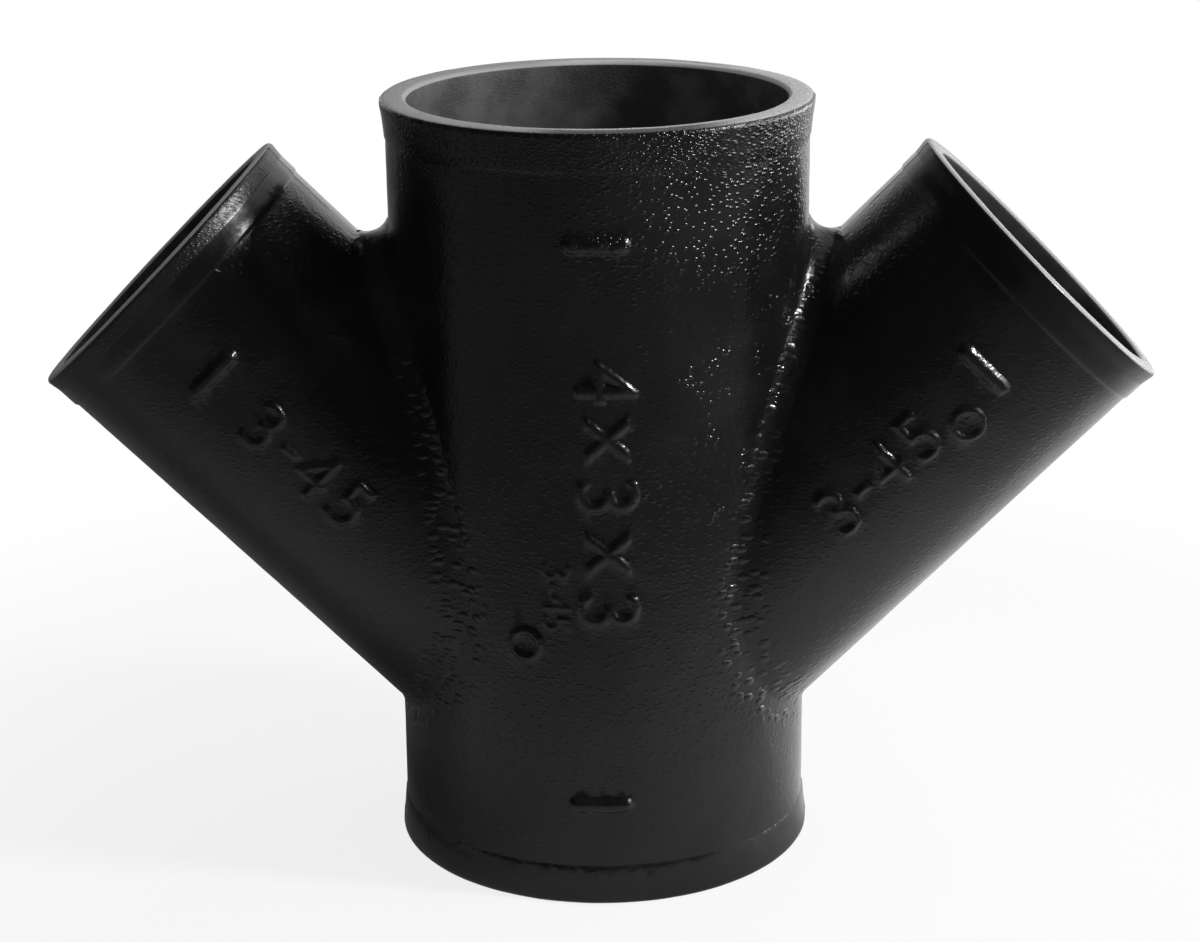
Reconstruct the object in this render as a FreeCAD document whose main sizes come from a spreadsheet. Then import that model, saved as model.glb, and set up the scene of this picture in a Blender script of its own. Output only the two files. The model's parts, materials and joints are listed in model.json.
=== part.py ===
import FreeCAD, Part
import math
import os
import Sketcher
from FreeCAD import Placement, Rotation, Vector

# Double wye: a cast iron pipe fitting with plain spigot ends.
# A straight run stands on its lower end, and two smaller branches leave it at the same height, left and right.
# The frame: origin in the middle of the lower end face, +Z up the run, +X towards one branch.

NODE = "double_wye_casting"

DRIVING_SIZES = [
    ("run_length", 206.4, "lower end face to upper end face"),
    ("run_bore_dia", 100.1, "inside of the straight run"),
    ("run_wall", 5.6, "wall of the run's barrel"),
    ("run_lip_rise", 1.35, "how far the lips at the run's ends stand proud of its barrel"),
    ("branch_angle", 45.0, "degrees between a branch and the run"),
    ("meeting_height", 44.4, "where the three axes meet, above the lower end face"),
    ("branch_reach", 166.7, "meeting point to a branch's end face"),
    ("branch_bore_dia", 75.2, "inside of a branch"),
    ("branch_wall", 4.95, "wall of a branch's barrel"),
    ("branch_lip_rise", 0.95, "how far the lip at a branch's end stands proud of its barrel"),
    ("bead_length", 10.3, "end face to the step where the barrel begins"),
    ("land_length", 1.5, "straight part of the lip beside the end face"),
    ("step_depth", 0.35, "depth of the step between barrel and bead"),
    ("lug_setback", 28.5, "end face to the middle of a gauge lug"),
    ("lug_base", 5.8, "width of a lug where it leaves the barrel, along the pipe"),
    ("lug_crest", 2.8, "width of a lug's flat crest"),
    ("lug_height", 1.2, "how far a lug stands proud"),
    ("lug_arc_length", 16.4, "length of a lug around the barrel"),
    ("lug_root_depth", 1.0, "how deep a lug is rooted in the wall"),
    ("crease_radius", 6.5, "cast blend outside, where a branch leaves the run"),
    ("throat_break", 2.0, "how far the edge inside is broken back, where a branch bore enters the run bore"),
    ("lip_edge_break", 0.8, "how far the outer edge of a lip is broken back"),
    ("mouth_edge_break", 0.7, "how far the edge of a bore is broken back at an end face"),
]

FULL_TURN = 360.0
TOUCH = 0.01


def make_sizes(doc):
    sheet = doc.addObject("Spreadsheet::Sheet", "Sizes")
    for row, (alias, value, meaning) in enumerate(DRIVING_SIZES, start=1):
        sheet.set(f"A{row}", meaning)
        sheet.set(f"B{row}", str(value))
        sheet.setAlias(f"B{row}", alias)
    doc.recompute()
    return sheet


def bore_radius(sizes, prefix):
    return getattr(sizes, prefix + "_bore_dia") / 2


def barrel_radius(sizes, prefix):
    return bore_radius(sizes, prefix) + getattr(sizes, prefix + "_wall")


def lip_radius(sizes, prefix):
    return barrel_radius(sizes, prefix) + getattr(sizes, prefix + "_lip_rise")


def barrel_formula(prefix):
    return f"Sizes.{prefix}_bore_dia / 2 + Sizes.{prefix}_wall"


def origin_plane(body, role):
    return next(item for item in body.Origin.OriginFeatures if item.Role == role)


def new_sketch(body, name, plane_role):
    sketch = body.newObject("Sketcher::SketchObject", name)
    sketch.AttachmentSupport = [(origin_plane(body, plane_role), "")]
    sketch.MapMode = "FlatFace"
    return sketch


def turn_to_branch(sketch, turning_axis, sense):
    # The sketch's upright direction becomes the branch's axis, and its origin the meeting point.
    sketch.AttachmentOffset = Placement(Vector(0, 1, 0), Rotation(turning_axis, sense * 30))
    sketch.setExpression(".AttachmentOffset.Base.y", "Sizes.meeting_height")
    sketch.setExpression(".AttachmentOffset.Rotation.Angle", f"{sense} * Sizes.branch_angle")


def bind(sketch, kind, first, first_end, second, second_end, formula, value):
    constraint = Sketcher.Constraint(kind, first, first_end, second, second_end, value)
    index = sketch.addConstraint(constraint)
    sketch.setExpression(f"Constraints[{index}]", formula)


def close_outline(sketch, lines):
    # Joins the lines end to end.
    indices = [sketch.addGeometry(item, False) for item in lines]
    for here, there in zip(indices, indices[1:] + indices[:1]):
        sketch.addConstraint(Sketcher.Constraint("Coincident", here, 2, there, 1))
    return indices


def square_up(sketch, index, line):
    along = line.EndPoint - line.StartPoint
    kind = "Horizontal" if abs(along.y) < TOUCH else "Vertical"
    sketch.addConstraint(Sketcher.Constraint(kind, index))


def barrel_outline(body, name, sizes, prefix, length_name, both_ends):
    # Half a barrel's outside, in the plane that holds its axis.
    # Each end has a small step down, a straight taper out to the lip and a short straight lip.
    length = getattr(sizes, length_name)
    barrel = barrel_radius(sizes, prefix)
    lip = lip_radius(sizes, prefix)
    neck = barrel - sizes.step_depth
    bead = sizes.bead_length
    land = sizes.land_length

    lower = [(lip, 0), (lip, land), (neck, bead), (barrel, bead)]
    upper = [(barrel, length - bead), (neck, length - bead), (lip, length - land), (lip, length)]
    spots = [(0, 0)] + (lower if both_ends else [(barrel, 0)]) + upper + [(0, length)]
    corners = [Vector(x, y, 0) for x, y in spots]
    pieces = [Part.LineSegment(a, b) for a, b in zip(corners, corners[1:] + corners[:1])]
    sketch = new_sketch(body, name, "XZ_Plane")
    indices = close_outline(sketch, pieces)
    land_top, taper_top, step_top = indices[-3], indices[-4], indices[-5]
    land_low, taper_low, step_low = indices[1], indices[2], indices[3]
    tapers = [taper_top, taper_low] if both_ends else [taper_top]
    for index, item in zip(indices, pieces):
        if index not in tapers:
            square_up(sketch, index, item)

    top = indices[-2]
    lip_formula = f"{barrel_formula(prefix)} + Sizes.{prefix}_lip_rise"
    sketch.addConstraint(Sketcher.Constraint("Coincident", indices[0], 1, -1, 1))
    bind(sketch, "DistanceY", -1, 1, top, 2, f"Sizes.{length_name}", length)
    bind(sketch, "DistanceX", -1, 1, step_top, 1, barrel_formula(prefix), barrel)
    bind(sketch, "DistanceX", -1, 1, land_top, 2, lip_formula, lip)
    bind(sketch, "DistanceX", step_top, 2, step_top, 1, "Sizes.step_depth", sizes.step_depth)
    bind(sketch, "DistanceY", step_top, 2, top, 2, "Sizes.bead_length", bead)
    bind(sketch, "DistanceY", land_top, 1, land_top, 2, "Sizes.land_length", land)
    if both_ends:
        bind(sketch, "DistanceX", -1, 1, land_low, 1, lip_formula, lip)
        bind(sketch, "DistanceX", step_low, 1, step_low, 2, "Sizes.step_depth", sizes.step_depth)
        bind(sketch, "DistanceY", -1, 1, step_low, 1, "Sizes.bead_length", bead)
        bind(sketch, "DistanceY", land_low, 1, land_low, 2, "Sizes.land_length", land)
    return sketch


def bore_outline(body, name, sizes, prefix, length_name):
    length = getattr(sizes, length_name)
    bore = bore_radius(sizes, prefix)
    corners = [Vector(0, 0, 0), Vector(bore, 0, 0), Vector(bore, length, 0), Vector(0, length, 0)]
    pieces = [Part.LineSegment(a, b) for a, b in zip(corners, corners[1:] + corners[:1])]
    sketch = new_sketch(body, name, "XZ_Plane")
    indices = close_outline(sketch, pieces)
    for index, item in zip(indices, pieces):
        square_up(sketch, index, item)
    sketch.addConstraint(Sketcher.Constraint("Coincident", indices[0], 1, -1, 1))
    bind(sketch, "DistanceX", -1, 1, 1, 1, f"Sizes.{prefix}_bore_dia / 2", bore)
    bind(sketch, "DistanceY", -1, 1, 2, 2, f"Sizes.{length_name}", length)
    return sketch


def lug_section(body, name, sizes, prefix, length_name, side, from_far_end):
    # A lug's cross section, in the plane of the pipe's axis that faces forward or backward.
    length = getattr(sizes, length_name)
    barrel = barrel_radius(sizes, prefix)
    middle = length - sizes.lug_setback if from_far_end else sizes.lug_setback
    root = side * (barrel - sizes.lug_root_depth)
    skin = side * barrel
    crest = side * (barrel + sizes.lug_height)
    base, flat = sizes.lug_base / 2, sizes.lug_crest / 2
    corners = [
        Vector(root, middle - base, 0),
        Vector(skin, middle - base, 0),
        Vector(crest, middle - flat, 0),
        Vector(crest, middle + flat, 0),
        Vector(skin, middle + base, 0),
        Vector(root, middle + base, 0),
    ]
    pieces = [Part.LineSegment(a, b) for a, b in zip(corners, corners[1:] + corners[:1])]
    sketch = new_sketch(body, name, "YZ_Plane")
    indices = close_outline(sketch, pieces)
    for number in (0, 2, 4, 5):
        square_up(sketch, indices[number], pieces[number])

    def out(index, end, formula, value):
        first, second = ((-1, 1), (index, end)) if side > 0 else ((index, end), (-1, 1))
        bind(sketch, "DistanceX", *first, *second, formula, value)

    barrel_size = barrel_formula(prefix)
    out(0, 1, f"{barrel_size} - Sizes.lug_root_depth", abs(root))
    out(1, 1, barrel_size, barrel)
    out(4, 1, barrel_size, barrel)
    out(2, 1, f"{barrel_size} + Sizes.lug_height", abs(crest))
    far = f"Sizes.{length_name} - Sizes.lug_setback" if from_far_end else "Sizes.lug_setback"
    bind(sketch, "DistanceY", -1, 1, 0, 1, f"{far} - Sizes.lug_base / 2", middle - base)
    bind(sketch, "DistanceY", 0, 1, 4, 2, "Sizes.lug_base", sizes.lug_base)
    bind(sketch, "DistanceY", -1, 1, 2, 1, f"{far} - Sizes.lug_crest / 2", middle - flat)
    bind(sketch, "DistanceY", 2, 1, 2, 2, "Sizes.lug_crest", sizes.lug_crest)
    return sketch


def revolve(body, kind, name, sketch):
    feature = body.newObject(f"PartDesign::{kind}", name)
    feature.Profile = sketch
    feature.ReferenceAxis = (sketch, ["V_Axis"])
    feature.Angle = FULL_TURN
    return feature


def raise_lug(body, name, sketch, prefix):
    feature = revolve(body, "Revolution", name, sketch)
    feature.Midplane = True
    feature.setExpression("Angle", f"180 * Sizes.lug_arc_length / (pi * ({barrel_formula(prefix)}))")
    return feature


def mirror_to_other_branch(body, name, originals):
    feature = body.newObject("PartDesign::Mirrored", name)
    feature.Originals = originals
    feature.MirrorPlane = (origin_plane(body, "YZ_Plane"), [""])
    body.Tip = feature
    return feature


def radius_about_run(point):
    return math.hypot(point.x, point.y)


def radius_about_branch(point, sizes):
    # Measured from the nearer of the two branch axes, which mirror each other.
    lean = math.radians(sizes.branch_angle)
    axis = Vector(math.sin(lean), 0, math.cos(lean))
    offset = Vector(abs(point.x), point.y, point.z - sizes.meeting_height)
    return offset.cross(axis).Length


def along_branch(point, sizes):
    lean = math.radians(sizes.branch_angle)
    axis = Vector(math.sin(lean), 0, math.cos(lean))
    return Vector(abs(point.x), point.y, point.z - sizes.meeting_height).dot(axis)


def edges_where(shape, test):
    names = []
    for number, edge in enumerate(shape.Edges, start=1):
        if edge.Length > TOUCH and all(test(point) for point in edge.discretize(7)):
            names.append(f"Edge{number}")
    return names


def dress_edges(doc, body, kind, name, size_name, test):
    doc.recompute()
    base = body.Tip
    feature = body.newObject(f"PartDesign::{kind}", name)
    feature.Base = (base, edges_where(base.Shape, test))
    feature.setExpression("Radius" if kind == "Fillet" else "Size", f"Sizes.{size_name}")
    return feature


def is_close(value, target):
    return abs(value - target) < TOUCH


def build(doc):
    sizes = make_sizes(doc)
    body = doc.addObject("PartDesign::Body", NODE)
    body.Label = NODE

    # Outside: the run, one branch and its mirror image
    run_sketch = barrel_outline(body, "run_outline", sizes, "run", "run_length", True)
    revolve(body, "Revolution", "run_barrel", run_sketch)
    branch_sketch = barrel_outline(body, "branch_outline", sizes, "branch", "branch_reach", False)
    turn_to_branch(branch_sketch, Vector(0, 0, 1), -1)
    branch = revolve(body, "Revolution", "branch_barrel", branch_sketch)
    mirror_to_other_branch(body, "branch_pair", [branch])

    # Blend outside, where the branches leave the run
    def on_outer_crease(point):
        on_run = is_close(radius_about_run(point), barrel_radius(sizes, "run"))
        return on_run and is_close(radius_about_branch(point, sizes), barrel_radius(sizes, "branch"))

    dress_edges(doc, body, "Fillet", "crease_blend", "crease_radius", on_outer_crease)

    # Gauge lugs, front and back, at every end
    branch_lugs = []
    for place, side in (("front", -1), ("back", 1)):
        for level, far in (("lower", False), ("upper", True)):
            name = f"{place}_{level}_lug"
            section = lug_section(body, name + "_section", sizes, "run", "run_length", side, far)
            raise_lug(body, name, section, "run")
        name = f"{place}_branch_lug"
        section = lug_section(body, name + "_section", sizes, "branch", "branch_reach", side, True)
        turn_to_branch(section, Vector(1, 0, 0), -1)
        branch_lugs.append(raise_lug(body, name, section, "branch"))
    mirror_to_other_branch(body, "branch_lug_pairs", branch_lugs)

    # Waterway: the run's bore and the two branch bores that enter it
    doc.recompute()
    solid_volume = body.Shape.Volume
    revolve(body, "Groove", "run_bore", bore_outline(body, "run_bore_outline", sizes, "run", "run_length"))
    branch_bore_sketch = bore_outline(body, "branch_bore_outline", sizes, "branch", "branch_reach")
    turn_to_branch(branch_bore_sketch, Vector(0, 0, 1), -1)
    branch_bore = revolve(body, "Groove", "branch_bore", branch_bore_sketch)
    mirror_to_other_branch(body, "branch_bore_pair", [branch_bore])
    doc.recompute()
    bored_away = solid_volume - body.Shape.Volume
    run_bore_volume = math.pi * bore_radius(sizes, "run") ** 2 * sizes.run_length
    if bored_away < run_bore_volume:
        raise RuntimeError("the bores cut too little")

    def on_throat(point):
        on_run = is_close(radius_about_run(point), bore_radius(sizes, "run"))
        return on_run and is_close(radius_about_branch(point, sizes), bore_radius(sizes, "branch"))

    dress_edges(doc, body, "Chamfer", "throat_edges", "throat_break", on_throat)

    # Softened edges of the end faces
    def at_end_face(point):
        on_run_end = is_close(point.z, 0) or is_close(point.z, sizes.run_length)
        return on_run_end or is_close(along_branch(point, sizes), sizes.branch_reach)

    def on_lip_edge(point):
        on_run = is_close(radius_about_run(point), lip_radius(sizes, "run"))
        on_branch = is_close(radius_about_branch(point, sizes), lip_radius(sizes, "branch"))
        return at_end_face(point) and (on_run or on_branch)

    def on_mouth_edge(point):
        on_run = is_close(radius_about_run(point), bore_radius(sizes, "run"))
        on_branch = is_close(radius_about_branch(point, sizes), bore_radius(sizes, "branch"))
        return at_end_face(point) and (on_run or on_branch)

    dress_edges(doc, body, "Chamfer", "lip_edges", "lip_edge_break", on_lip_edge)
    dress_edges(doc, body, "Chamfer", "mouth_edges", "mouth_edge_break", on_mouth_edge)
    doc.recompute()
    return body


def check_document(doc):
    for item in doc.Objects:
        if "Invalid" in item.State or "Error" in item.State:
            raise RuntimeError(f"{item.Name} failed: {item.State}")


def check_piece(body):
    shape = body.Shape
    if shape.isNull() or not shape.isValid() or len(shape.Solids) != 1:
        raise RuntimeError(f"{body.Label} isn't one valid solid")
    box = shape.BoundBox
    print(body.Label, "faces", len(shape.Faces), "volume", round(shape.Volume / 1000, 1), "cm3")
    print("box", [round(v, 2) for v in (box.XMin, box.XMax, box.YMin, box.YMax, box.ZMin, box.ZMax)])


def main():
    doc = FreeCAD.newDocument("DoubleWye")
    casting = build(doc)
    check_document(doc)
    check_piece(casting)
    os.makedirs("parts", exist_ok=True)
    casting.Shape.exportStep(f"parts/{casting.Label}.step")


main()
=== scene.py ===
import json
import math

import bmesh
import bpy
import numpy as np
from mathutils import Matrix, Vector, noise


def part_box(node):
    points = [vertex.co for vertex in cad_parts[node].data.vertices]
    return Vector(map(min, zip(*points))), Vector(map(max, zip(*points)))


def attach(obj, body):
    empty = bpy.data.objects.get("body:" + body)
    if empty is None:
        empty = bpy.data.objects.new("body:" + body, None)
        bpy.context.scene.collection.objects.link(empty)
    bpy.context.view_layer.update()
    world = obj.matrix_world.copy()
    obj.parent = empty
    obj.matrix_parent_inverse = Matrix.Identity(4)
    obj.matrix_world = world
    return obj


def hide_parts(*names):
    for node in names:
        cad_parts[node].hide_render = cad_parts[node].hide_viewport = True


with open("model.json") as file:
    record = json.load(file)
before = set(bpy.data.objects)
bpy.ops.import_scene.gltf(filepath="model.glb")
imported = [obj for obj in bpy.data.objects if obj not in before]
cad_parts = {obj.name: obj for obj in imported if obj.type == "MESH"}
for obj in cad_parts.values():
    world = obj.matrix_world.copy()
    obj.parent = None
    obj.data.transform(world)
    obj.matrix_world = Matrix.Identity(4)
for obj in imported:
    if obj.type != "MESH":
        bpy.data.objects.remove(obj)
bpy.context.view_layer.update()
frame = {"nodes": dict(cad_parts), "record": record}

mm = 0.001
mergeDistance = 1e-6
smallest = 1e-9
nodeName = "double_wye_casting"

# sizes of the casting, as the frame has them
mounts = {mount["name"]: mount for mount in frame["record"]["mounts"]}
lowCorner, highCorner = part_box(nodeName)
fitting = dict(
    runLength=highCorner.z,
    runLip=mounts["upper_spigot"]["dims"]["r_mm"] * mm,
    runBarrel=55.65 * mm,
    runBore=50.05 * mm,
    branchLip=mounts["right_spigot"]["dims"]["r_mm"] * mm,
    branchBarrel=42.55 * mm,
    branchBore=37.6 * mm,
    meeting=44.4 * mm,     # where the three axes cross, above the lower face
    reach=166.7 * mm,      # from there to a branch's face
    throat=20 * mm,        # and to where a branch has surfaces of its own
    bead=10.3 * mm,
    land=1.5 * mm,
)
lean = math.radians(45)

# the photograph's view
view = dict(
    place=(10.3 * mm, -692.3 * mm, 327.5 * mm),
    turn=-0.0153,
    tilt=-0.3144,
    roll=-0.0106,
    focalPixels=2663.4,
    photoWidth=1200,
    sensor=36.0,
    clip=(0.05, 20),
)


def makeCamera():
    data = bpy.data.cameras.new("photoView")
    camera = bpy.data.objects.new("photoView", data)
    bpy.context.scene.collection.objects.link(camera)
    data.sensor_width = view["sensor"]
    data.lens = view["sensor"] * view["focalPixels"] / view["photoWidth"]
    data.clip_start, data.clip_end = view["clip"]
    forward = Vector((
        math.sin(view["turn"]) * math.cos(view["tilt"]),
        math.cos(view["turn"]) * math.cos(view["tilt"]),
        math.sin(view["tilt"]),
    ))
    side = forward.cross(Vector((0, 0, 1))).normalized()
    rise = side.cross(forward)
    right = math.cos(view["roll"]) * side + math.sin(view["roll"]) * rise
    up = right.cross(forward)
    turned = Matrix((right, up, -forward)).transposed().to_4x4()
    camera.matrix_world = Matrix.Translation(view["place"]) @ turned
    bpy.context.scene.camera = camera


for leftover in ("Cube", "Light", "Camera"):
    if leftover in bpy.data.objects:
        bpy.data.objects.remove(bpy.data.objects[leftover])
makeCamera()
print("camera placed")


# a small wrapper, so that shader maths reads as maths
class Wire:
    def __init__(self, tree, socket):
        self.tree = tree
        self.socket = socket

    def maths(self, kind, *values):
        return self.tree.node("ShaderNodeMath", dict(operation=kind), values)

    def __add__(self, other):
        return self.maths("ADD", self, other)

    def __radd__(self, other):
        return self.maths("ADD", other, self)

    def __sub__(self, other):
        return self.maths("SUBTRACT", self, other)

    def __rsub__(self, other):
        return self.maths("SUBTRACT", other, self)

    def __mul__(self, other):
        return self.maths("MULTIPLY", self, other)

    def __rmul__(self, other):
        return self.maths("MULTIPLY", other, self)

    def __truediv__(self, other):
        return self.maths("DIVIDE", self, other)

    def atLeast(self, other):
        return self.maths("MAXIMUM", self, other)

    def size(self):
        return self.maths("ABSOLUTE", self)

    def root(self):
        return self.maths("SQRT", self)

    def fade(self, start, end):
        # 0 at start, 1 at end, smooth between them
        settings = dict(interpolation_type="SMOOTHSTEP")
        values = {"Value": self, "From Min": start, "From Max": end}
        return self.tree.node("ShaderNodeMapRange", settings, values)

    def fadeFrom(self, base, margin):
        return self.fade(base + margin[0], base + margin[1])


class Tree:
    def __init__(self, nodeTree):
        self.nodes = nodeTree.nodes
        self.links = nodeTree.links
        self.nodes.clear()

    def node(self, kind, settings=None, inputs=(), output=0):
        made = self.nodes.new(kind)
        for name, value in (settings or {}).items():
            setattr(made, name, value)
        pairs = inputs.items() if isinstance(inputs, dict) else enumerate(inputs)
        for key, value in pairs:
            target = made.inputs[key]
            if isinstance(value, Wire):
                self.links.new(value.socket, target)
            else:
                target.default_value = value
        return Wire(self, made.outputs[output]) if len(made.outputs) else made

    def parts(self, vector):
        split = self.node("ShaderNodeSeparateXYZ", None, {"Vector": vector}).socket.node
        return [Wire(self, output) for output in split.outputs]

    def rays(self, *kinds):
        path = self.node("ShaderNodeLightPath").socket.node
        return [Wire(self, path.outputs[kind]) for kind in kinds]


coating = dict(
    deep=(0.0046, 0.0047, 0.0049, 1),     # thick black coating
    thin=(0.0082, 0.0083, 0.0084, 1),     # coating worn thinner over the iron
    bore=(0.056, 0.056, 0.055, 1),        # dull grey inside
    boreDark=(0.026, 0.026, 0.0255, 1),
    mouthShade=0.55,                      # painted shade: how much darker the branches are inside, towards their mouths
    cut=(0.225, 0.225, 0.22, 1),          # the end faces and their rounded edges, lighter grey: a thinner coat, brightened by painted highlight
    cutLight=(0.42, 0.42, 0.411, 1),      # painted highlight along the upper bore's edge and over the right of the upper face
    cutDark=(0.06, 0.06, 0.059, 1),       # darker over the front middle of the upper face
    cutEdge=0.35 * mm,                    # how far the end faces' lighter colour and painted highlight reach over the run's edges
    mouthEdge=1.15 * mm,                  # and over the edge of its bore
    branchEndEdge=0.75 * mm,
    cutDull=0.55,
    grain=0.85 * mm,                      # spacing of the cast grain
    grainDepth=0.08 * mm,
    pimple=1.6 * mm,                      # spacing of small round bumps in the coating
    pimpleRadius=0.62 * mm,
    pimpleHeight=0.22 * mm,
    pimpleLeft=0.25,                      # how high they are away from the run's upper right
    finePimple=0.95 * mm,                 # finer ones, close together on the bead
    finePimpleRadius=0.42 * mm,
    finePimpleHeight=0.22 * mm,
    creaseLump=3.0 * mm,                  # coarse round lumps in the creases
    creaseLumpRadius=1.4 * mm,
    creaseDepth=0.34 * mm,
    creaseFine=2.2 * mm,                  # flatter ones in their upper part
    creaseFineRadius=1.2 * mm,
    creaseFineDepth=0.19 * mm,
    creaseDull=0.3,                       # roughness added where the creases end above
    peel=6 * mm,                          # slower waves under the grain
    peelDepth=0.11 * mm,
    patch=28 * mm,                        # size of the patches of thinner coating
    shine=0.2,                            # roughness where the coating is thick
    dull=0.28,
    boreDull=0.6,
    lipDull=0.12,                         # added beside the branches' lips
    beadDull=0.12,                        # and on the right of the upper bead
    flatten=(0.75, 0.75, 1.2),            # the grain is a little wider than tall
    cluster=9 * mm,                       # groups of the small bumps on the run's right
    clusterShare=(0.57, 0.66),
    beadShare=(0.75, 0.35, 0.8),          # finer bumps on the upper bead: all, right, far right
    lipShare=0.35,                        # and beside the left branch's lip
    footCalm=0.65,                        # how much flatter the grain is at the foot
    beadCalm=0.85,                        # on the branches' beads
    rightCalm=0.5,                        # under the small bumps on the right
    boreCalm=0.75,
    cutCalm=0.6,
    wearShare=(0.4, 0.7),
    blotch=11 * mm,                       # blotches inside
    blotchShare=(0.35, 0.65),
    faceHighlightShare=0.8,
    rimMiddleDull=0.3,
)
# where the masks start and end, in x, y or z
zones = dict(
    toRight=(-12 * mm, 6 * mm),
    farRight=(18 * mm, 36 * mm),
    upper=(158 * mm, 182 * mm),
    clusterSide=(0, 20 * mm),
    clusterRise=(100 * mm, 112 * mm),
    leftMouth=(-90 * mm, -60 * mm),
    foot=(8 * mm, 15 * mm),
    flankLow=(177.5 * mm, 178.5 * mm),    # the lit flank of the upper lug
    flankHigh=(181 * mm, 182 * mm),
    flankSide=(8 * mm, 10 * mm),
    facing=(-20 * mm, 0),
    creaseTop=(143 * mm, 150 * mm),
    creaseEnd=(167 * mm, 172 * mm),
    creaseDull=(154 * mm, 167 * mm),
    mouths=(70 * mm, 110 * mm),
    rimMiddleX=8 * mm,
    rimMiddleSide=(14 * mm, 28 * mm),       # from that middle
    byBoreSide=(-24 * mm, -4 * mm),
    highlightSide=(28 * mm, 42 * mm),
)
# the same, counted from one of the fitting's own sizes
margins = dict(
    inside=(0.3 * mm, 0.9 * mm),          # from a bore
    fromMouth=(1 * mm, 1.6 * mm),
    rimMiddleBore=(0.5 * mm, 1.3 * mm),
    byBore=(2.2 * mm, 3.2 * mm),
    throat=(0, 2 * mm),
    face=(0, 0.3 * mm),
    onRun=(1 * mm, 7 * mm),               # from a lip
    onBranch=(2 * mm, 6 * mm),
    upperBead=(-6 * mm, 2 * mm),          # from a bead's heel
    branchBead=(-3 * mm, 1 * mm),
    beadDull=(-2 * mm, 0),
    lip=(-5.2 * mm, -4.4 * mm),           # from an end face
    rimMiddleTop=(-3 * mm, -2 * mm),
    runGap=(3 * mm, 7 * mm),              # from a barrel
    branchGap=(2 * mm, 6 * mm),
    upperHalf=(0, 10 * mm),
)


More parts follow.
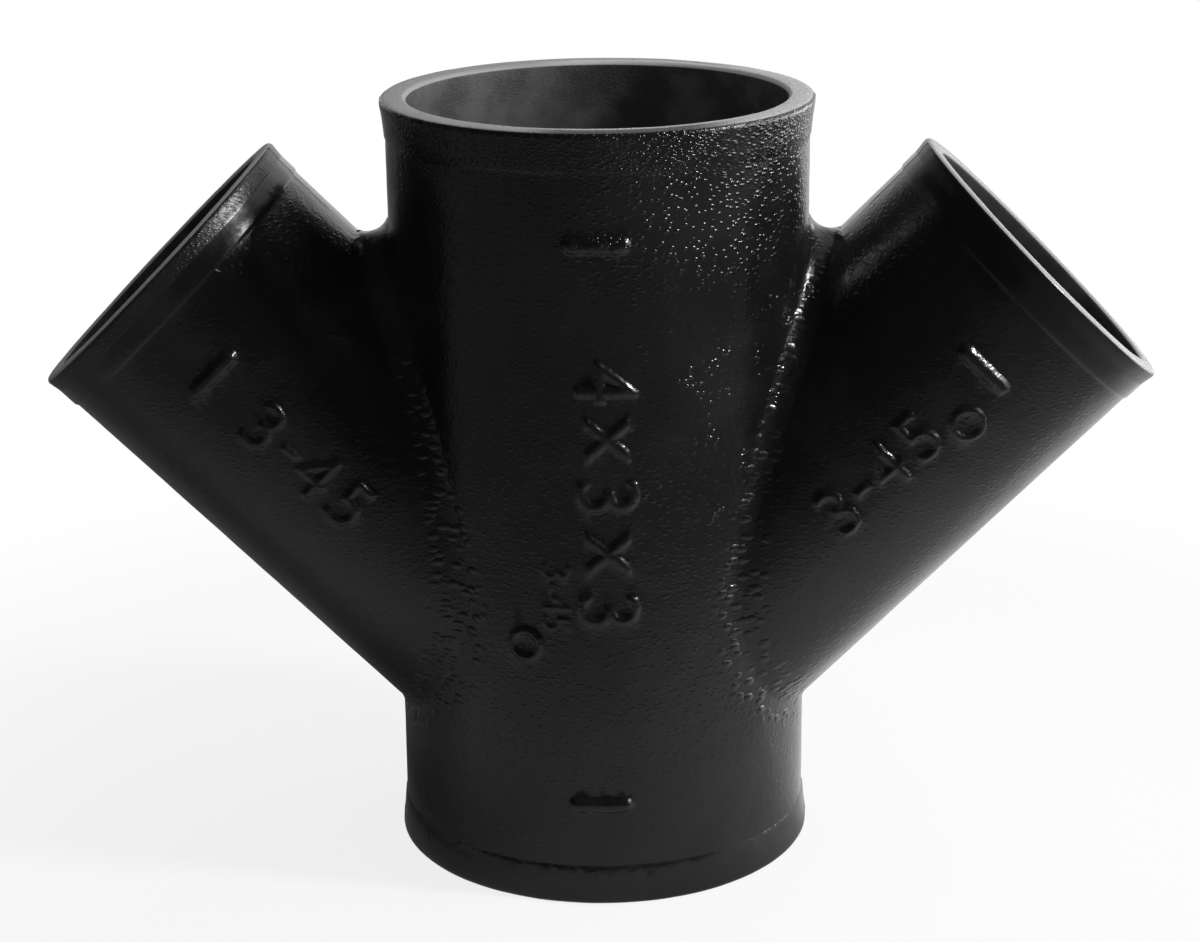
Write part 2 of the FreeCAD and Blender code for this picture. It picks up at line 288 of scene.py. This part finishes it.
def coatedIron():
    material = bpy.data.materials.new("blackCoatedIron")
    material.use_nodes = True
    tree = Tree(material.node_tree)
    place = tree.node("ShaderNodeTexCoord", output=3)
    stretched = tree.node("ShaderNodeMapping", None, {"Vector": place, "Scale": coating["flatten"]})

    def cloud(spacing, detail=2.0, rough=0.5, where=place):
        values = {"Vector": where, "Scale": 1 / spacing, "Detail": detail, "Roughness": rough}
        return tree.node("ShaderNodeTexNoise", dict(noise_dimensions="3D"), values)

    def blend(factor, first, second):
        values = {"Factor": factor, "A": first, "B": second}
        return tree.node("ShaderNodeMix", dict(data_type="RGBA"), values, 2)

    def domes(spacing, radius):
        # round bumps at random places, 1 high
        values = {"Vector": stretched, "Scale": 1 / spacing}
        away = tree.node("ShaderNodeTexVoronoi", dict(feature="F1"), values) * (spacing / radius)
        return (1 - away * away).atLeast(0)

    # distances from the axes of the pipes
    x, y, z = tree.parts(place)
    middle = fitting["runLength"] / 2
    runRadius = (x * x + y * y).root()
    sideways = x.size()
    rise = z - fitting["meeting"]
    along = (sideways + rise) * math.sin(lean)
    across = (sideways - rise) * math.sin(lean)
    branchRadius = (across * across + y * y).root()
    facing = 1 - y.fade(*zones["facing"])

    # bores, end faces, beads and creases
    runInside = 1 - runRadius.fadeFrom(fitting["runBore"], margins["inside"])
    branchInside = 1 - branchRadius.fadeFrom(fitting["branchBore"], margins["inside"])
    inside = runInside.atLeast(branchInside * along.fadeFrom(fitting["throat"], margins["throat"]))
    fromMouth = runRadius.fadeFrom(fitting["runBore"], margins["fromMouth"])
    edge = coating["mouthEdge"] + fromMouth * (coating["cutEdge"] - coating["mouthEdge"])
    runEnd = ((z - middle).size() + edge - middle).fade(*margins["face"])
    branchEnd = along.fadeFrom(fitting["reach"] - coating["branchEndEdge"], margins["face"])
    cutFace = runEnd.atLeast(branchEnd)
    onRun = 1 - runRadius.fadeFrom(fitting["runLip"], margins["onRun"])
    onBranch = 1 - branchRadius.fadeFrom(fitting["branchLip"], margins["onBranch"])
    toRight = x.fade(*zones["toRight"])
    farRight = x.fade(*zones["farRight"])
    upperHeel = fitting["runLength"] - fitting["bead"]
    branchBead = along.fadeFrom(fitting["reach"] - fitting["bead"], margins["branchBead"]) * onBranch
    lipZone = along.fadeFrom(fitting["reach"], margins["lip"]) * branchBead
    leftLip = lipZone * (1 - x.fade(*zones["leftMouth"]))
    runGap = (runRadius - fitting["runBarrel"]).size()
    branchGap = (branchRadius - fitting["branchBarrel"]).size()
    crease = (1 - runGap.fade(*margins["runGap"])) * (1 - branchGap.fade(*margins["branchGap"]))
    creaseTop = z.fade(*zones["creaseTop"])

    # grain and bumps
    grain = cloud(coating["grain"], 2.0, 0.5, stretched)
    peel = cloud(coating["peel"], 2.0)
    upperRight = toRight * z.fade(*zones["upper"]) * onRun
    clusters = cloud(coating["cluster"], 1.0, 0.5).fade(*coating["clusterShare"])
    clusters = clusters * x.fade(*zones["clusterSide"]) * onRun * z.fade(*zones["clusterRise"])
    strength = coating["pimpleLeft"] + upperRight.atLeast(clusters) * (1 - coating["pimpleLeft"])
    pimples = domes(coating["pimple"], coating["pimpleRadius"]) * strength * coating["pimpleHeight"]
    allRound, moreRight, lessFarRight = coating["beadShare"]
    upperBead = z.fadeFrom(upperHeel, margins["upperBead"]) * onRun
    upperBead = upperBead * (allRound + toRight * moreRight - farRight * lessFarRight)
    upperFlank = z.fade(*zones["flankLow"]) * (1 - z.fade(*zones["flankHigh"]))
    upperFlank = upperFlank * (1 - sideways.fade(*zones["flankSide"])) * facing
    finePlaces = upperBead.atLeast(leftLip * coating["lipShare"]).atLeast(upperFlank)
    finePimples = domes(coating["finePimple"], coating["finePimpleRadius"]) * coating["finePimpleHeight"]
    pimples = pimples.atLeast(finePimples * finePlaces)
    calm = z.fade(*zones["foot"]) * coating["footCalm"] + (1 - coating["footCalm"])
    calm = calm * (1 - (branchBead - leftLip) * coating["beadCalm"])
    calmGrain = calm * (1 - toRight * onRun * coating["rightCalm"])
    lumps = domes(coating["creaseLump"], coating["creaseLumpRadius"]) * crease * (1 - creaseTop)
    fineLumps = domes(coating["creaseFine"], coating["creaseFineRadius"]) * crease * creaseTop
    fineLumps = fineLumps * (1 - z.fade(*zones["creaseEnd"]))
    height = grain * calmGrain * coating["grainDepth"] + pimples * calm + peel * coating["peelDepth"]
    height = height + lumps * coating["creaseDepth"] + fineLumps * coating["creaseFineDepth"]
    height = height * (1 - inside * coating["boreCalm"]) * (1 - cutFace * coating["cutCalm"])
    bump = tree.node("ShaderNodeBump", None, {"Strength": 1.0, "Distance": 1.0, "Height": height})

    # colour and roughness
    wear = cloud(coating["patch"], 4.0, 0.6).fade(*coating["wearShare"])
    black = blend(wear, coating["deep"], coating["thin"])
    blotches = cloud(coating["blotch"], 4.0, 0.6).fade(*coating["blotchShare"])
    lining = blend(blotches, coating["boreDark"], coating["bore"])
    # painted shade: the lining darkens towards black nearer the branches' mouths
    lining = blend(sideways.fade(*zones["mouths"]) * coating["mouthShade"], lining, (0, 0, 0, 1))
    colour = blend(inside, black, lining)
    # the front middle of the upper end face is darker and rougher
    rimMiddle = 1 - (x - zones["rimMiddleX"]).size().fade(*zones["rimMiddleSide"])
    rimMiddle = rimMiddle * z.fadeFrom(fitting["runLength"], margins["rimMiddleTop"])
    rimMiddle = rimMiddle * runRadius.fadeFrom(fitting["runBore"], margins["rimMiddleBore"]) * facing
    cut = blend(rimMiddle, coating["cut"], coating["cutDark"])
    # painted highlight: the upper end face lighter along the bore's edge and on its right side
    byBore = 1 - runRadius.fadeFrom(fitting["runBore"], margins["byBore"])
    faceHighlight = (byBore * x.fade(*zones["byBoreSide"])).atLeast(x.fade(*zones["highlightSide"]))
    faceHighlight = faceHighlight * coating["faceHighlightShare"] * onRun * z.fadeFrom(middle, margins["upperHalf"])
    cut = blend(faceHighlight, cut, coating["cutLight"])
    # the end faces and their rounded edges take the lighter tone, partly painted highlight
    colour = blend(cutFace, colour, cut)
    sheen = coating["shine"] + wear * (coating["dull"] - coating["shine"])
    rough = sheen + inside * (coating["boreDull"] - sheen)
    rough = rough + lipZone * coating["lipDull"]
    rough = rough + crease * z.fade(*zones["creaseDull"]) * coating["creaseDull"]
    rough = rough + z.fadeFrom(upperHeel, margins["beadDull"]) * onRun * farRight * coating["beadDull"]
    rough = rough.atLeast(cutFace * (coating["cutDull"] + rimMiddle * coating["rimMiddleDull"]))
    shader = tree.node(
        "ShaderNodeBsdfPrincipled",
        None,
        {"Base Color": colour, "Roughness": rough, "Normal": bump, "IOR": 1.5},
    )
    tree.node("ShaderNodeOutputMaterial", None, {"Surface": shader})
    return material


# pipe frames: where a pipe starts, the way it runs, and the way its marks' tops point
upright = dict(start=Vector((0, 0, 0)), along=Vector((0, 0, 1)), top=Vector((1, 0, 0)))
rightPipe = dict(
    start=Vector((0, 0, fitting["meeting"])),
    along=Vector((math.sin(lean), 0, math.cos(lean))),
    top=Vector((-math.cos(lean), 0, math.sin(lean))),
)
leftPipe = dict(
    start=Vector((0, 0, fitting["meeting"])),
    along=Vector((-math.sin(lean), 0, math.cos(lean))),
    top=Vector((math.cos(lean), 0, math.sin(lean))),
)
front = Vector((0, -1, 0))

raised = dict(
    height=1.0 * mm,
    boldness=0.7 * mm,       # how far a mark's foot reaches past its outline
    draft=1.5 * mm,
    capShare=0.7,            # a capital's height as a share of the type size
    ringWidth=0.85 * mm,
    ragged=0.3 * mm,         # how uneven the edges are
    raggedSpacing=1.7 * mm,
    reach=14 * mm,           # a mark's points lie within this of its middle
    grip=0.4 * mm,           # and within this of the barrel
    batches=40,
)
# plain size figures stand where the casting's marks are: 4 in run, 3 in branches, 45 degrees;
# each has its place along the pipe and its height in mm
figureRows = (
    dict(pipe=upright, radius="runBarrel", reads=-1, shift=2.4 * mm, bold=0.85 * mm, figures=(
        ("4", 143.5, 15.5),
        ("x", 128.5, 17),
        ("3", 113.5, 15.5),
        ("x", 98.0, 17),
        ("3", 82.5, 15.5),
    )),
    dict(pipe=upright, radius="runBarrel", reads=-1, shift=-11 * mm, bold=0.3 * mm, figures=(
        ("3-45", 86, 7.4),
    )),
    dict(pipe=leftPipe, radius="branchBarrel", reads=-1, shift=-1 * mm, bold=raised["boldness"], figures=(
        ("3", 120, 13.5),
        ("-", 110.5, 13.5),
        ("4", 102, 13.5),
        ("5", 90, 13.5),
    )),
    dict(pipe=rightPipe, radius="branchBarrel", reads=1, shift=-1 * mm, bold=raised["boldness"], figures=(
        ("3", 86.3, 13.5),
        ("-", 94.8, 13.5),
        ("4", 103.3, 13.5),
        ("5", 114.6, 13.5),
    )),
)
figures = [
    dict(row, text=text, place=place * mm, cap=cap * mm)
    for row in figureRows
    for text, place, cap in row["figures"]
]
rings = [
    dict(pipe=upright, radius="runBarrel", place=72.5 * mm, shift=-19.5 * mm, middle=3.7 * mm),
    dict(pipe=rightPipe, radius="branchBarrel", place=125.7 * mm, shift=-7.6 * mm, middle=3.9 * mm),
]
lug = dict(
    setback=28.2 * mm,       # from an end face to the lug's middle
    halfLength=8.8 * mm,
    halfWidth=2.4 * mm,
    height=1.45 * mm,
    draft=1.7 * mm,
    crown=0.25,              # how much its flanks curve
    clearLength=5 * mm,      # where the CAD's own lug is taken down first
    clearHeight=2 * mm,
)
lugs = [
    dict(pipe=pipe, radius=radius, place=place, facing=facing, shift=0)
    for pipe, radius, place in (
        (upright, "runBarrel", lug["setback"]),
        (upright, "runBarrel", fitting["runLength"] - lug["setback"]),
        (rightPipe, "branchBarrel", fitting["reach"] - lug["setback"]),
        (leftPipe, "branchBarrel", fitting["reach"] - lug["setback"]),
    )
    for facing in (front, -front)
]


def eased(share):
    # 0 to 1, smooth at both ends
    return share * share * (3 - 2 * share)


def figureOutline(mark):
    # the outline of a figure as line segments, centred on its own middle
    curve = bpy.data.curves.new("figure", "FONT")
    curve.body = mark["text"]
    curve.size = mark["cap"] / raised["capShare"]
    curve.resolution_u = 6
    holder = bpy.data.objects.new("figure", curve)
    bpy.context.scene.collection.objects.link(holder)
    depsgraph = bpy.context.evaluated_depsgraph_get()
    bm = bmesh.new()
    bm.from_mesh(bpy.data.meshes.new_from_object(holder.evaluated_get(depsgraph)))
    bpy.data.objects.remove(holder)
    bmesh.ops.remove_doubles(bm, verts=bm.verts, dist=mergeDistance)
    rim = [edge for edge in bm.edges if edge.is_boundary]
    ends = np.array([[tuple(vert.co.xy) for vert in edge.verts] for edge in rim])
    bm.free()
    flat = ends.reshape(-1, 2)
    return ends - (flat.min(axis=0) + flat.max(axis=0)) / 2


def depthInside(spots, outline):
    # how far each flat spot lies inside the outline, negative outside it
    start, end = outline[:, 0], outline[:, 1]
    step = end - start
    away = spots[:, None, :] - start
    share = np.clip((away * step).sum(axis=2) / np.maximum((step ** 2).sum(axis=1), 1e-18), 0, 1)
    near = np.linalg.norm(away - share[:, :, None] * step, axis=2).min(axis=1)
    above = (start[:, 1] > spots[:, 1, None]) != (end[:, 1] > spots[:, 1, None])
    rise = np.where(np.abs(step[:, 1]) < 1e-12, 1e-12, step[:, 1])
    crossing = start[:, 0] + (spots[:, 1, None] - start[:, 1]) / rise * step[:, 0]
    crossed = (above & (crossing > spots[:, 0, None])).sum(axis=1) % 2
    return np.where(crossed == 1, near, -near)


def raiseMark(points, mark, depthAt):
    # lifts the barrel under one figure, ring or lug, with sloping sides and soft edges
    pipe, radius, facing = mark["pipe"], fitting[mark["radius"]], mark.get("facing", front)
    offset = points - np.array(pipe["start"])
    along = offset @ np.array(pipe["along"])
    ahead, sideways = offset @ np.array(facing), offset @ np.array(pipe["top"])
    distance = np.hypot(ahead, sideways)
    reads = mark.get("reads", 1)
    reading = reads * (along - mark["place"])
    height = radius * np.arctan2(sideways, ahead) - mark["shift"]
    close = (np.abs(reading) < raised["reach"]) & (np.abs(height) < raised["reach"])
    chosen = np.flatnonzero(close & (np.abs(distance - radius) < raised["grip"]) & (ahead > 0))
    spots = np.stack((reading[chosen], height[chosen]), axis=1)
    depth = np.concatenate([depthAt(part) for part in np.array_split(spots, raised["batches"])])
    rough = [noise.noise(Vector(point) / raised["raggedSpacing"]) for point in points[chosen]]
    depth = depth + np.array(rough) * raised["ragged"]
    if "facing" in mark:
        # a lug: nearly straight flanks
        share = np.clip(depth / lug["draft"], 0, 1)
        lift = lug["height"] * share * (1 + lug["crown"] * (1 - share))
    else:
        share = np.clip((depth + mark.get("bold", raised["boldness"])) / raised["draft"], 0, 1)
        lift = raised["height"] * eased(share)
    outward = (
        ahead[chosen, None] * np.array(facing) + sideways[chosen, None] * np.array(pipe["top"])
    ) / distance[chosen, None]
    points[chosen] += outward * lift[:, None]
    return points


def lugDepth(spots):
    # depth inside a bar with round ends
    past = np.maximum(np.abs(spots[:, 1]) - lug["halfLength"] + lug["halfWidth"], 0)
    return lug["halfWidth"] - np.hypot(spots[:, 0], past)


def flattenLugs(points):
    # takes the CAD's lugs down to the barrel, so that softer ones can stand in their place
    for mark in lugs:
        pipe, radius = mark["pipe"], fitting[mark["radius"]]
        offset = points - np.array(pipe["start"])
        along = offset @ np.array(pipe["along"])
        outward = offset - along[:, None] * np.array(pipe["along"])
        distance = np.linalg.norm(outward, axis=1)
        close = np.abs(along - mark["place"]) < lug["clearLength"]
        close = close & (np.abs(distance - radius) < lug["clearHeight"])
        points = np.where(close[:, None], points - outward * (1 - radius / distance)[:, None], points)
    return points


def raiseMarks(points):
    points = flattenLugs(points)
    for mark in lugs:
        points = raiseMark(points, mark, lugDepth)
    for mark in figures:
        outline = figureOutline(mark)
        points = raiseMark(points, mark, lambda spots: depthInside(spots, outline))
    for mark in rings:
        points = raiseMark(
            points,
            mark,
            lambda spots: raised["ringWidth"] - np.abs(np.linalg.norm(spots, axis=1) - mark["middle"]),
        )
    return points


skin = dict(
    voxel=0.6 * mm,
    softening=(0.5, 3),     # strength and passes of the smoothing over edges
    triangles=186000,
    waves=((14 * mm, 0.14 * mm), (6 * mm, 0.08 * mm)),
    seamWidth=0.9 * mm,     # parting line of the mould
    seamHeight=0.16 * mm,
    seamHold=0.2,           # it shows where the surface was eased at least this much
    beadStep=0.3 * mm,      # how far the bead stands over the run's barrel at its heel
    branchStep=0.42 * mm,   # and over a branch's
    stepBlend=0.9 * mm,
    kneePlace=4.4 * mm,     # the bead is steeper from its lip to here
    kneeDrop=0.45 * mm,
    kneeRound=0.6 * mm,
    beadReach=13 * mm,      # from an end, where points may move further
    beadHold=0.95 * mm,     # by so much at the heel
    lipRound=1.35 * mm,     # outer edge of an end face
    mouthRound=1.15 * mm,   # edge of a bore
    grip=0.3 * mm,          # how near a point must be to be eased onto a surface
)


def applied(piece, name):
    depsgraph = bpy.context.evaluated_depsgraph_get()
    mesh = bpy.data.meshes.new_from_object(piece.evaluated_get(depsgraph))
    mesh.name = name
    piece.modifiers.clear()
    piece.data = mesh
    return mesh


def beadProfile(fromEnd, barrel, lip, step):
    # outside radius near an end: straight lip, taper, a small step down, barrel
    heel = barrel + step
    share = np.clip((fromEnd - fitting["land"]) / (fitting["bead"] - fitting["land"]), 0, 1)
    knee = (fitting["land"], skin["kneePlace"], fitting["bead"])
    spread = (-skin["kneeRound"], 0, skin["kneeRound"])
    radii = (lip, lip - skin["kneeDrop"], heel)
    taper = sum(np.interp(fromEnd + shift, knee, radii) for shift in spread) / len(spread)
    stepShare = eased(np.clip((fromEnd - fitting["bead"]) / skin["stepBlend"] + 0.5, 0, 1))
    hold = share * skin["beadHold"] * (fromEnd < skin["beadReach"])
    return taper * (1 - stepShare) + barrel * stepShare, hold


def nearness(gap, hold=0):
    return eased(np.clip(1 - (np.abs(gap) - hold) / skin["grip"], 0, 1))


def settleOn(points, axisPoint, axis, target):
    # eases points that lie near a round surface onto it, which takes the flats off the CAD mesh
    offset = points - axisPoint
    along = offset @ axis
    outward = offset - along[:, None] * axis
    radius = np.linalg.norm(outward, axis=1)
    wanted, hold = target(along)
    gap = radius - wanted
    share = nearness(gap, hold)
    moved = points - outward / np.maximum(radius, smallest)[:, None] * (gap * share)[:, None]
    return moved, share


def roundEnd(points, faceMiddle, axis, bore, lip):
    # flattens an end face and rounds both its edges
    offset = points - faceMiddle
    depth = -(offset @ axis)
    outward = offset + depth[:, None] * axis
    radius = np.linalg.norm(outward, axis=1)
    outward = outward / np.maximum(radius, smallest)[:, None]
    wantedRadius = radius
    inFace = (radius > bore) & (radius < lip + skin["grip"])
    wantedDepth = np.where(inFace, depth * (1 - nearness(depth)), depth)
    for size, centre, sense in (
        (skin["lipRound"], lip - skin["lipRound"], 1),
        (skin["mouthRound"], bore + skin["mouthRound"], -1),
    ):
        down, side = size - depth, sense * (radius - centre)
        corner = (down > 0) & (side > 0) & (down < size + skin["grip"]) & (side < size + skin["grip"])
        stretch = size / np.maximum(np.hypot(down, side), smallest)
        wantedDepth = np.where(corner, size - down * stretch, wantedDepth)
        wantedRadius = np.where(corner, centre + sense * side * stretch, wantedRadius)
    return points + outward * (wantedRadius - radius)[:, None] - axis * (wantedDepth - depth)[:, None]


def roundSurfaces(points):
    size = fitting
    runAxis = np.array((0.0, 0, 1))
    origin = np.zeros(3)
    meetingPoint = np.array((0.0, 0, size["meeting"]))

    def runOutside(along):
        fromEnd = np.minimum(along, size["runLength"] - along)
        return beadProfile(fromEnd, size["runBarrel"], size["runLip"], skin["beadStep"])

    def branchOutside(along):
        fromEnd = size["reach"] - along
        return beadProfile(fromEnd, size["branchBarrel"], size["branchLip"], skin["branchStep"])

    points, outside = settleOn(points, origin, runAxis, runOutside)
    points = settleOn(points, origin, runAxis, lambda along: (size["runBore"], 0))[0]
    for pipe in (rightPipe, leftPipe):
        axis = np.array(pipe["along"])
        ahead = (points - meetingPoint) @ axis > size["throat"]
        moved, share = settleOn(points, meetingPoint, axis, branchOutside)
        points = np.where(ahead[:, None], moved, points)
        outside = np.maximum(outside, share * ahead)
        moved = settleOn(points, meetingPoint, axis, lambda along: (size["branchBore"], 0))[0]
        points = np.where(ahead[:, None], moved, points)
        faceMiddle = meetingPoint + size["reach"] * axis
        points = roundEnd(points, faceMiddle, axis, size["branchBore"], size["branchLip"])
    points = roundEnd(points, runAxis * size["runLength"], runAxis, size["runBore"], size["runLip"])
    points = roundEnd(points, origin, -runAxis, size["runBore"], size["runLip"])
    return points, outside


def vertexArrays(mesh):
    points = np.empty(len(mesh.vertices) * 3)
    mesh.vertices.foreach_get("co", points)
    normals = np.empty(len(mesh.vertices) * 3, np.float32)
    mesh.vertex_normals.foreach_get("vector", normals)
    return points.reshape(-1, 3), normals.reshape(-1, 3).astype(float)


def makeSkin():
    casting = bmesh.new()
    casting.from_mesh(frame["nodes"][nodeName].data)
    bmesh.ops.remove_doubles(casting, verts=casting.verts, dist=mergeDistance)
    mesh = bpy.data.meshes.new("castingSkin")
    casting.to_mesh(mesh)
    casting.free()
    piece = bpy.data.objects.new("casting_skin", mesh)
    bpy.context.scene.collection.objects.link(piece)

    remesh = piece.modifiers.new("voxels", "REMESH")
    remesh.mode = "VOXEL"
    remesh.voxel_size = skin["voxel"]
    smooth = piece.modifiers.new("soften", "SMOOTH")
    smooth.factor, smooth.iterations = skin["softening"]
    mesh = applied(piece, "castingSkin")
    print("remeshed", len(mesh.polygons))

    points, normals = vertexArrays(mesh)
    points, outside = roundSurfaces(points)
    seam = np.clip(1 - np.abs(points[:, 1]) / skin["seamWidth"], 0, 1)
    seam = eased(seam) * (outside > skin["seamHold"]) * skin["seamHeight"]
    points = points + normals * seam[:, None]
    points = raiseMarks(points)
    mesh.vertices.foreach_set("co", points.ravel())
    mesh.update()

    for index, (spacing, depth) in enumerate(skin["waves"]):
        texture = bpy.data.textures.new(f"castWaves{index}", "CLOUDS")
        texture.noise_scale = spacing
        texture.noise_depth = 1
        displace = piece.modifiers.new(f"waves{index}", "DISPLACE")
        displace.texture = texture
        displace.texture_coords = "LOCAL"
        displace.strength = depth
        displace.mid_level = 0.5
    thin = piece.modifiers.new("thin", "DECIMATE")
    thin.ratio = skin["triangles"] / (2 * len(mesh.polygons))
    mesh = applied(piece, "castingSkin")
    mesh.shade_smooth()
    mesh.calc_loop_triangles()
    print("skin triangles", len(mesh.loop_triangles))
    mesh.materials.clear()
    mesh.materials.append(coatedIron())
    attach(piece, "root")
    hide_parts(nodeName)


makeSkin()


lamps = dict(
    key=dict(place=(1.03, -0.26, 0.76), size=(0.14, 0.14), power=16),
    strip=dict(place=(1.25, -0.1, 0.42), size=(1.1, 0.2), power=2.0),
    window=dict(place=(1.15, 0.65, 0.2), size=(1.2, 0.4), power=8),
    overhead=dict(place=(0.55, 0.5, 1.0), size=(0.9, 0.9), power=2),
)


def makeLamps():
    aim = Vector((0, 0, 0.1))
    for name, lamp in lamps.items():
        data = bpy.data.lights.new(name, "AREA")
        data.shape = "RECTANGLE"
        data.size, data.size_y = lamp["size"]
        data.energy = lamp["power"]
        light = bpy.data.objects.new(name, data)
        bpy.context.scene.collection.objects.link(light)
        light.location = lamp["place"]
        light.rotation_euler = (aim - light.location).to_track_quat("-Z", "Y").to_euler()
        light.visible_camera = False


# the way that counts as behind the casting, in x and y
behindX, behindY = 0.6, 0.8
room = dict(
    ambient=0.43,            # light on the surfaces
    dark=0.02,               # what the gloss shows in front and overhead
    back=1.0,                # and behind, low down
    backFade=(0.0, 0.8),
    riseFade=(0.3, 0.55),
)


def makeWorld():
    # white to the camera, and behind the casting to its gloss
    world = bpy.data.worlds.new("studio")
    bpy.context.scene.world = world
    world.use_nodes = True
    tree = Tree(world.node_tree)
    seen, gloss, through = tree.rays("Is Camera Ray", "Is Glossy Ray", "Is Transmission Ray")
    glossy = gloss.atLeast(through)
    x, y, z = tree.parts(tree.node("ShaderNodeTexCoord", output=0))
    behind = (y * behindY + x * behindX).fade(*room["backFade"]) * (1 - z.fade(*room["riseFade"]))
    glow = room["dark"] + behind * (room["back"] - room["dark"])
    strength = room["ambient"] + glossy * (glow - room["ambient"])
    strength = strength + seen * (1 - strength)
    white = tree.node("ShaderNodeBackground", None, {"Color": (1, 1, 1, 1), "Strength": strength})
    tree.node("ShaderNodeOutputWorld", None, {"Surface": white})


floorLook = dict(
    # painted pool of light: the floor's own colour is lighter close to the casting
    near=(0.68, 0.68, 0.68, 1),
    far=(0.25, 0.25, 0.25, 1),
    nearRadius=0.12,
    farRadius=0.36,
    nearGlow=0.42,           # painted reflection: how brightly the floor glows to the gloss beside the casting
    nearRightGlow=0.72,
    leftBackShadow=0.7,         # painted shadow: how much less of it behind the casting's left side
    leftFootShadow=0.6,         # painted shadow: less again close to its foot
    farGlow=0.14,
    backGlow=1.0,
    shade=0.18,              # share of the true floor that the camera sees near the casting
    halfSize=4,
    backFade=(0.45, 0.85),
    rightFade=(0, 0.16),
    leftFade=(0.02, 0.08),
    leftBackFade=(-0.08, 0),
    footFade=(0.08, 0.14),
)


def makeFloor():
    bm = bmesh.new()
    bmesh.ops.create_grid(bm, x_segments=1, y_segments=1, size=floorLook["halfSize"])
    mesh = bpy.data.meshes.new("floor")
    bm.to_mesh(mesh)
    bm.free()
    floor = bpy.data.objects.new("floor", mesh)
    bpy.context.scene.collection.objects.link(floor)
    material = bpy.data.materials.new("paleFloor")
    material.use_nodes = True
    tree = Tree(material.node_tree)
    place = tree.node("ShaderNodeTexCoord", output=3)
    distance = tree.node("ShaderNodeVectorMath", dict(operation="LENGTH"), {0: place}, 1)
    # painted pool of light: the floor lighter close to the casting
    near = 1 - distance.fade(floorLook["nearRadius"], floorLook["farRadius"])
    tones = {"Factor": near, "A": floorLook["far"], "B": floorLook["near"]}
    tone = tree.node("ShaderNodeMix", dict(data_type="RGBA"), tones, 2)
    pale = tree.node("ShaderNodeBsdfDiffuse", None, {"Color": tone})
    x, y = tree.parts(place)[:2]
    # painted reflection for the gloss: the floor glows beside the casting, more to its right and behind,
    # with painted shadow behind its left side and at its left foot
    back = ((y * behindY + x * behindX) / distance.atLeast(0.01)).fade(*floorLook["backFade"])
    toRight = x.fade(*floorLook["rightFade"])
    toLeft = (0 - x).fade(*floorLook["leftFade"])
    beside = floorLook["nearGlow"] + toRight * (floorLook["nearRightGlow"] - floorLook["nearGlow"])
    leftBack = toLeft * y.fade(*floorLook["leftBackFade"])
    leftFoot = toLeft * (1 - distance.fade(*floorLook["footFade"]))
    beside = beside * (1 - leftBack * floorLook["leftBackShadow"]) * (1 - leftFoot * floorLook["leftFootShadow"])
    glow = floorLook["farGlow"] + near * (beside - floorLook["farGlow"])
    glow = glow + back * (floorLook["backGlow"] - glow)
    seen, glossy = tree.rays("Is Camera Ray", "Is Glossy Ray")
    strength = seen + (1 - seen) * glow
    white = tree.node("ShaderNodeEmission", None, {"Color": (1, 1, 1, 1), "Strength": strength})
    share = (seen * (1 - near * floorLook["shade"])).atLeast(glossy)
    mixed = tree.node("ShaderNodeMixShader", None, {0: share, 1: pale, 2: white})
    tree.node("ShaderNodeOutputMaterial", None, {"Surface": mixed})
    mesh.materials.append(material)


makeWorld()
makeLamps()
makeFloor()
bpy.context.scene.view_settings.view_transform = "Standard"
print("studio ready")
